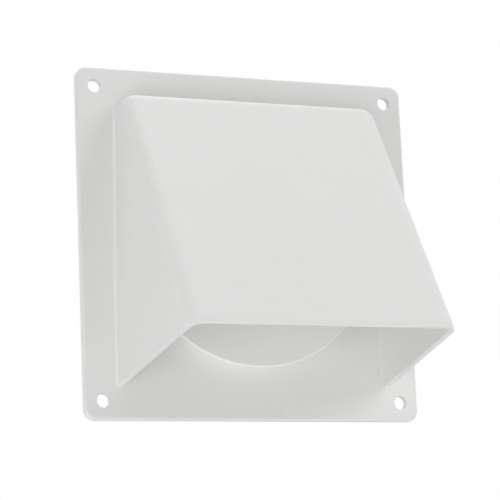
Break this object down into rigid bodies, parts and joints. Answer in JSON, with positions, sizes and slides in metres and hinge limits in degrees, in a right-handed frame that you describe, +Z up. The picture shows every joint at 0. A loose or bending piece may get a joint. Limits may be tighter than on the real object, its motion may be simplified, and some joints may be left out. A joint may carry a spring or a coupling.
{
  "type": "gravity flap vent",
  "caption": "White moulded wall vent: a square plate with a sloping hood open underneath, a round duct spigot behind, and a hinged round flap that falls shut.",
  "frame": {"origin": "centre of the wall plate's back face, which lies on the wall", "axes": "+Z up, +Y into the wall along the duct, +X to the right for someone facing the vent"},
  "size_m": [0.14, 0.1158, 0.14],
  "materials": {
    "cowl_plastic": "white injection moulding, smooth satin",
    "flap_plastic": "white injection moulding, smooth satin"
  },
  "bodies": {
    "cowl": {"cowl": "cowl_plastic"},
    "flap": {"gravity_flap": "flap_plastic"}
  },
  "joints": [
    {"name": "flap_swing", "type": "hinge", "parent": "cowl", "child": "flap", "pos_m": [0, -0.0059, 0.051], "axis": [-1, 0, 0], "range_deg": [0, 33.5]}
  ]
}
